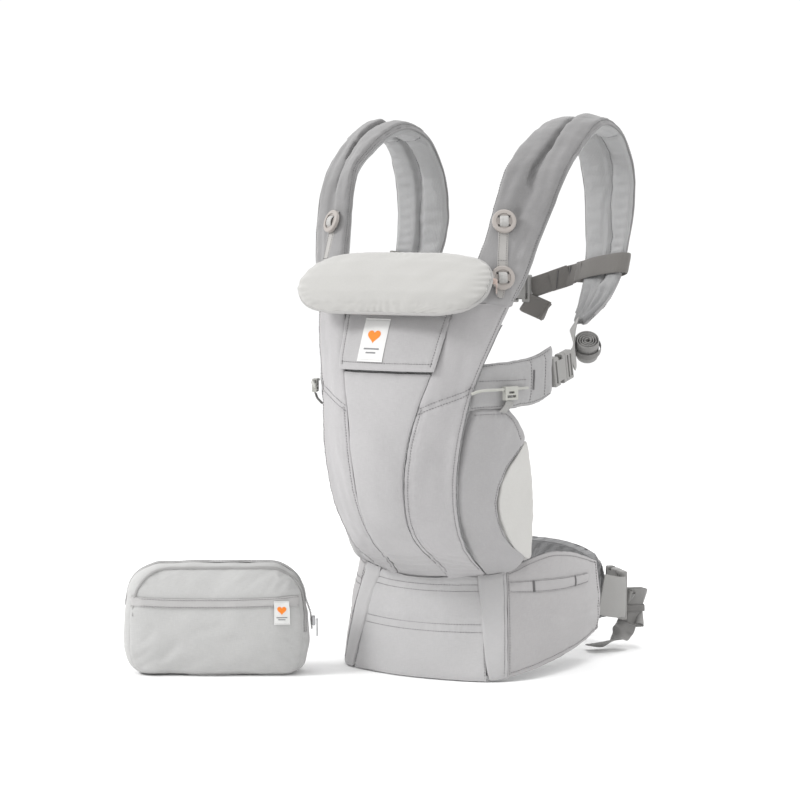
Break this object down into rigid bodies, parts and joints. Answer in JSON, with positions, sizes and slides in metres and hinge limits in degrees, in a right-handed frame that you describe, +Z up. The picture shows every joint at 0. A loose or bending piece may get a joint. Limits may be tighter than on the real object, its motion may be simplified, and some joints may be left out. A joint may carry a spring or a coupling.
{
  "type": "soft baby carrier",
  "caption": "Soft structured carrier: padded waist belt, curved front panel, fold-down head pillow, padded shoulder straps with buckled webbing, and a loose zipped pouch.",
  "frame": {"origin": "middle of the bottom edge of the waist belt's front, on the floor", "axes": "+X to the viewer's right when facing the front panel, +Y back to the wearer, +Z up"},
  "size_m": [0.4854, 0.4643, 0.6439],
  "materials": {
    "belt_band_cotton": "light grey woven cotton, folded double",
    "belt_mesh": "dark grey spacer mesh",
    "buckle_plastic": "grey moulded plastic, satin",
    "button_plastic": "warm grey moulded plastic, satin",
    "button_tape": "light grey satin tape",
    "cream_jersey": "off-white soft jersey",
    "foam": "open-cell foam",
    "grey_webbing": "mid grey woven webbing",
    "label_cloth": "white woven label",
    "pillow_grey": "light grey woven cotton",
    "pouch_cotton": "light grey woven cotton, matt",
    "rail_cord": "pale cord",
    "shell_cotton": "light grey woven cotton, matt",
    "side_cotton": "light grey woven cotton, matt",
    "soft_mesh": "grey spacer mesh",
    "taupe_webbing": "dark warm grey woven elastic webbing",
    "zip_metal": "zinc alloy, satin",
    "zip_tape": "grey woven zip tape with nylon coil"
  },
  "bodies": {
    "carrier": {"belt_foam": "foam", "belt_front_panel": "shell_cotton", "belt_lining": "belt_mesh", "belt_side_bands": "belt_band_cotton", "belt_wing_left": "shell_cotton", "belt_wing_right": "shell_cotton", "body_centre_panel": "shell_cotton", "body_lining": "soft_mesh", "body_side_panel_left": "side_cotton", "body_side_panel_right": "side_cotton", "button_tapes": "button_tape", "front_label": "label_cloth", "leg_panel_left": "side_cotton", "leg_panel_right": "side_cotton", "seat_rails": "rail_cord", "seat_tab_left": "grey_webbing", "seat_tab_right": "grey_webbing", "strap_buttons": "button_plastic", "strap_cover_left": "side_cotton", "strap_cover_right": "side_cotton", "strap_foam": "foam", "strap_lining_left": "soft_mesh", "strap_lining_right": "soft_mesh", "thigh_pad_left": "cream_jersey", "thigh_pad_right": "cream_jersey", "top_pocket_panel": "shell_cotton", "underarm_buckle_socket_left": "buckle_plastic", "underarm_buckle_socket_right": "buckle_plastic", "underarm_webbing_left": "grey_webbing", "underarm_webbing_right": "grey_webbing", "underarm_wing_left": "side_cotton", "underarm_wing_right": "side_cotton", "waist_buckle_socket": "buckle_plastic", "waist_webbing": "grey_webbing"},
    "head_pillow": {"head_pillow_cover": "cream_jersey", "head_pillow_foam": "foam", "head_pillow_back": "pillow_grey", "pillow_loops": "grey_webbing"},
    "waist_plug": {"waist_buckle_plug": "buckle_plastic", "waist_web_end": "grey_webbing", "waist_pack_keeper": "grey_webbing"},
    "cross_strap": {"cross_strap_loops": "taupe_webbing", "cross_strap_web_left": "taupe_webbing", "cross_strap_web_right": "taupe_webbing", "cross_buckle_socket": "buckle_plastic", "cross_strap_pack": "taupe_webbing"},
    "cross_plug": {"cross_buckle_plug": "buckle_plastic"},
    "pouch": {"pouch_body": "pouch_cotton", "pouch_zip": "zip_tape", "pouch_label": "label_cloth"},
    "zip_slider": {"zip_slider": "zip_metal"},
    "zip_pull": {"zip_pull": "zip_metal"},
    "underarm_plug_left": {"underarm_buckle_plug_left": "buckle_plastic", "underarm_web_roll_left": "grey_webbing", "underarm_roll_keeper_left": "grey_webbing"},
    "seat_hook_left": {"seat_hook_left": "buckle_plastic"},
    "underarm_plug_right": {"underarm_buckle_plug_right": "buckle_plastic", "underarm_web_roll_right": "grey_webbing", "underarm_roll_keeper_right": "grey_webbing"},
    "seat_hook_right": {"seat_hook_right": "buckle_plastic"}
  },
  "joints": [
    {"name": "head_support_fold", "type": "hinge", "parent": "carrier", "child": "head_pillow", "pos_m": [0, -0.027, 0.484], "axis": [-1, 0, 0], "range_deg": [0, 135]},
    {"name": "underarm_buckle_release_left", "type": "slide", "parent": "carrier", "child": "underarm_plug_left", "axis": [-0.1003, 0.9724, 0.2105], "range_m": [0, 0.02], "deforming": ["underarm_webbing_left"]},
    {"name": "underarm_buckle_release_right", "type": "slide", "parent": "carrier", "child": "underarm_plug_right", "axis": [0.1003, 0.9724, 0.2105], "range_m": [0, 0.02], "deforming": ["underarm_webbing_right"]},
    {"name": "waist_buckle_release", "type": "slide", "parent": "carrier", "child": "waist_plug", "axis": [0.6919, -0.722, 0], "range_m": [0, 0.028], "deforming": ["waist_webbing"]},
    {"name": "cross_strap_height", "type": "slide", "parent": "carrier", "child": "cross_strap", "axis": [0, 0.28, 0.96], "range_m": [-0.015, 0.02], "deforming": ["cross_strap_loops"]},
    {"name": "cross_buckle_release", "type": "slide", "parent": "cross_strap", "child": "cross_plug", "axis": [-1, 0, 0], "range_m": [0, 0.018], "deforming": ["cross_strap_web_left"]},
    {"name": "seat_width_left", "type": "slide", "parent": "carrier", "child": "seat_hook_left", "axis": [-0.3748, 0.9271, 0], "range_m": [-0.012, 0.012], "deforming": ["seat_tab_left"]},
    {"name": "seat_width_right", "type": "slide", "parent": "carrier", "child": "seat_hook_right", "axis": [0.3748, 0.9271, 0], "range_m": [-0.012, 0.012], "deforming": ["seat_tab_right"]},
    {"name": "pouch_lift", "type": "slide", "parent": "carrier", "child": "pouch", "axis": [0, 0, 1], "range_m": [0, 0.06]},
    {"name": "zip_travel", "type": "slide", "parent": "pouch", "child": "zip_slider", "axis": [-0.0348, -0.0197, 0.9992], "range_m": [0, 0.02]},
    {"name": "zip_pull_swing", "type": "hinge", "parent": "zip_slider", "child": "zip_pull", "pos_m": [-0.11367, -0.03039, 0.061], "axis": [0.4924, -0.8704, 0], "range_deg": [0, 110]}
  ]
}
